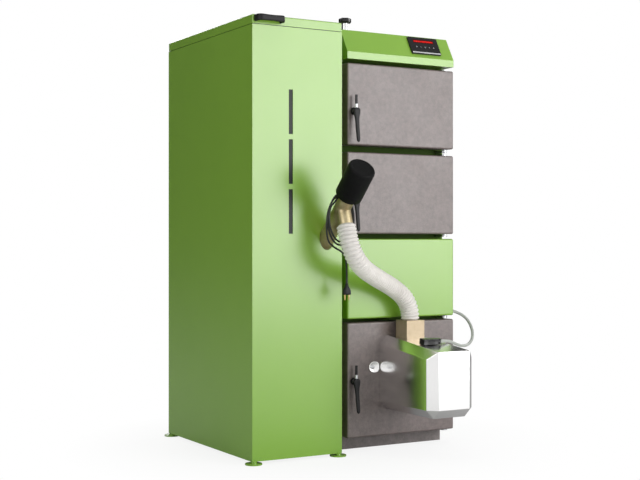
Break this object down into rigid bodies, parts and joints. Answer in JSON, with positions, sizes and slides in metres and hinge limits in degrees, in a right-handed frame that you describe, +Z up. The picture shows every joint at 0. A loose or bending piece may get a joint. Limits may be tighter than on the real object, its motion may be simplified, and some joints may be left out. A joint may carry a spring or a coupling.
{
  "type": "pellet boiler",
  "caption": "Floor-standing pellet boiler with hinged front doors, a tall side hopper, an inclined auger feeding a door-mounted burner through a ribbed hose, and a sloped control console.",
  "frame": {"origin": "on the floor under the middle of the boiler body", "axes": "+X to the boiler's right as seen from its doors, +Y to its back, +Z up"},
  "size_m": [0.9601, 1.069, 1.622],
  "materials": {
    "green_paint": "satin powder coat",
    "hammered_grey": "hammered enamel",
    "plinth_grey": "matt paint",
    "raw_steel": "mill finish plate",
    "zinc_steel": "zinc plated",
    "passivated": "yellow passivated steel tube",
    "stainless": "polished stainless sheet",
    "chute_metal": "warm plated steel",
    "black_plastic": "fine grain",
    "black_gloss": "moulded, glossy",
    "white_hose": "ribbed hose",
    "grey_cable": "cable sheath",
    "black_cable": "cable sheath",
    "smoked_pane": "smoked clear sheet",
    "display_red": "display window",
    "button_pale": "printed keys",
    "insulation": "mineral wool board",
    "liner_board": "light insulating board",
    "rope_seal": "braided rope seal",
    "foam_seal": "foam strip",
    "green_foot": "satin powder coat"
  },
  "bodies": {
    "boiler": {"boiler_plinth": "plinth_grey", "boiler_vessel": "raw_steel", "turbulators": "raw_steel", "ash_pan": "raw_steel", "jacket_left_panel": "green_paint", "jacket_right_panel": "green_paint", "jacket_back_panel": "green_paint", "jacket_top_panel": "green_paint", "jacket_front_frame": "green_paint", "insulation_boards": "insulation", "flue_stub": "raw_steel", "water_sockets": "zinc_steel", "front_cover_panel": "green_paint", "door_gaskets": "rope_seal", "door_hinges": "zinc_steel", "console_cover": "green_paint", "controller_housing": "black_gloss", "controller_display": "display_red", "damper_bush": "zinc_steel", "hopper_shell": "green_paint", "hopper_front_panel": "green_paint", "sight_windows": "smoked_pane", "hopper_base": "green_paint", "hopper_feet": "green_foot", "hopper_bin": "zinc_steel", "lid_hinges": "zinc_steel", "auger_tube": "passivated", "auger_motor": "black_plastic", "feed_hose": "white_hose", "cable_gland": "black_plastic", "burner_cable": "grey_cable", "motor_lead": "black_cable", "motor_plug": "black_plastic"},
    "lid": {"hopper_lid": "green_paint", "lid_seal": "foam_seal", "lid_handle": "black_plastic"},
    "screw": {"auger_screw": "raw_steel"},
    "damper": {"damper_rod": "zinc_steel", "damper_knob": "black_gloss"},
    "upper_door": {"upper_door": "hammered_grey", "upper_door_liner": "liner_board"},
    "middle_door": {"middle_door": "hammered_grey", "middle_door_liner": "liner_board"},
    "lower_door": {"lower_door": "hammered_grey", "lower_door_liner": "liner_board", "burner_neck": "plinth_grey", "burner_tube": "raw_steel", "burner_cover": "stainless", "fuel_chute": "chute_metal", "burner_connector": "black_gloss"},
    "upper_handle": {"upper_handle": "black_plastic"},
    "middle_handle": {"middle_handle": "black_plastic"},
    "lower_handle": {"lower_handle": "black_plastic"},
    "peephole": {"peephole_cover": "zinc_steel"},
    "fan": {"burner_fan": "zinc_steel"},
    "menu_button": {"menu_button": "button_pale"},
    "minus_button": {"minus_button": "button_pale"},
    "power_button": {"power_button": "button_pale"},
    "plus_button": {"plus_button": "button_pale"},
    "enter_button": {"enter_button": "button_pale"}
  },
  "joints": [
    {"name": "lid_hinge", "type": "hinge", "parent": "boiler", "child": "lid", "pos_m": [-0.447, 0.3095, 1.486], "axis": [-1, 0, 0], "range_deg": [0, 80]},
    {"name": "screw_turn", "type": "hinge", "parent": "boiler", "child": "screw", "pos_m": [-0.332, -0.4145, 0.762], "axis": [0, -0.7071, 0.7071], "continuous": true},
    {"name": "damper_slide", "type": "slide", "parent": "boiler", "child": "damper", "axis": [0, 0, 1], "range_m": [-0.075, 0]},
    {"name": "upper_door_hinge", "type": "hinge", "parent": "boiler", "child": "upper_door", "pos_m": [0.221, -0.335, 1.237], "axis": [0, 0, 1], "range_deg": [0, 110]},
    {"name": "middle_door_hinge", "type": "hinge", "parent": "boiler", "child": "middle_door", "pos_m": [0.221, -0.335, 0.922], "axis": [0, 0, 1], "range_deg": [0, 110]},
    {"name": "lower_door_hinge", "type": "hinge", "parent": "boiler", "child": "lower_door", "pos_m": [0.221, -0.335, 0.257], "axis": [0, 0, 1], "range_deg": [0, 45], "deforming": ["feed_hose", "burner_cable"]},
    {"name": "upper_handle_turn", "type": "hinge", "parent": "upper_door", "child": "upper_handle", "pos_m": [-0.206, -0.3845, 1.211], "axis": [0, -1, 0], "range_deg": [0, 45]},
    {"name": "middle_handle_turn", "type": "hinge", "parent": "middle_door", "child": "middle_handle", "pos_m": [-0.206, -0.3845, 0.896], "axis": [0, -1, 0], "range_deg": [0, 45]},
    {"name": "lower_handle_turn", "type": "hinge", "parent": "lower_door", "child": "lower_handle", "pos_m": [-0.206, -0.3845, 0.255], "axis": [0, -1, 0], "range_deg": [0, 45]},
    {"name": "peephole_swing", "type": "hinge", "parent": "lower_door", "child": "peephole", "pos_m": [-0.128, -0.387, 0.301], "axis": [0, -1, 0], "range_deg": [0, 180]},
    {"name": "fan_turn", "type": "hinge", "parent": "lower_door", "child": "fan", "pos_m": [-0.004, -0.545, 0.265], "axis": [0, 1, 0], "continuous": true},
    {"name": "menu_press", "type": "slide", "parent": "boiler", "child": "menu_button", "axis": [0, 0.8682, -0.4961], "range_m": [0, 0.001], "stiffness_N_per_m": 500},
    {"name": "minus_press", "type": "slide", "parent": "boiler", "child": "minus_button", "axis": [0, 0.8682, -0.4961], "range_m": [0, 0.001], "stiffness_N_per_m": 500},
    {"name": "power_press", "type": "slide", "parent": "boiler", "child": "power_button", "axis": [0, 0.8682, -0.4961], "range_m": [0, 0.001], "stiffness_N_per_m": 500},
    {"name": "plus_press", "type": "slide", "parent": "boiler", "child": "plus_button", "axis": [0, 0.8682, -0.4961], "range_m": [0, 0.001], "stiffness_N_per_m": 500},
    {"name": "enter_press", "type": "slide", "parent": "boiler", "child": "enter_button", "axis": [0, 0.8682, -0.4961], "range_m": [0, 0.001], "stiffness_N_per_m": 500}
  ]
}
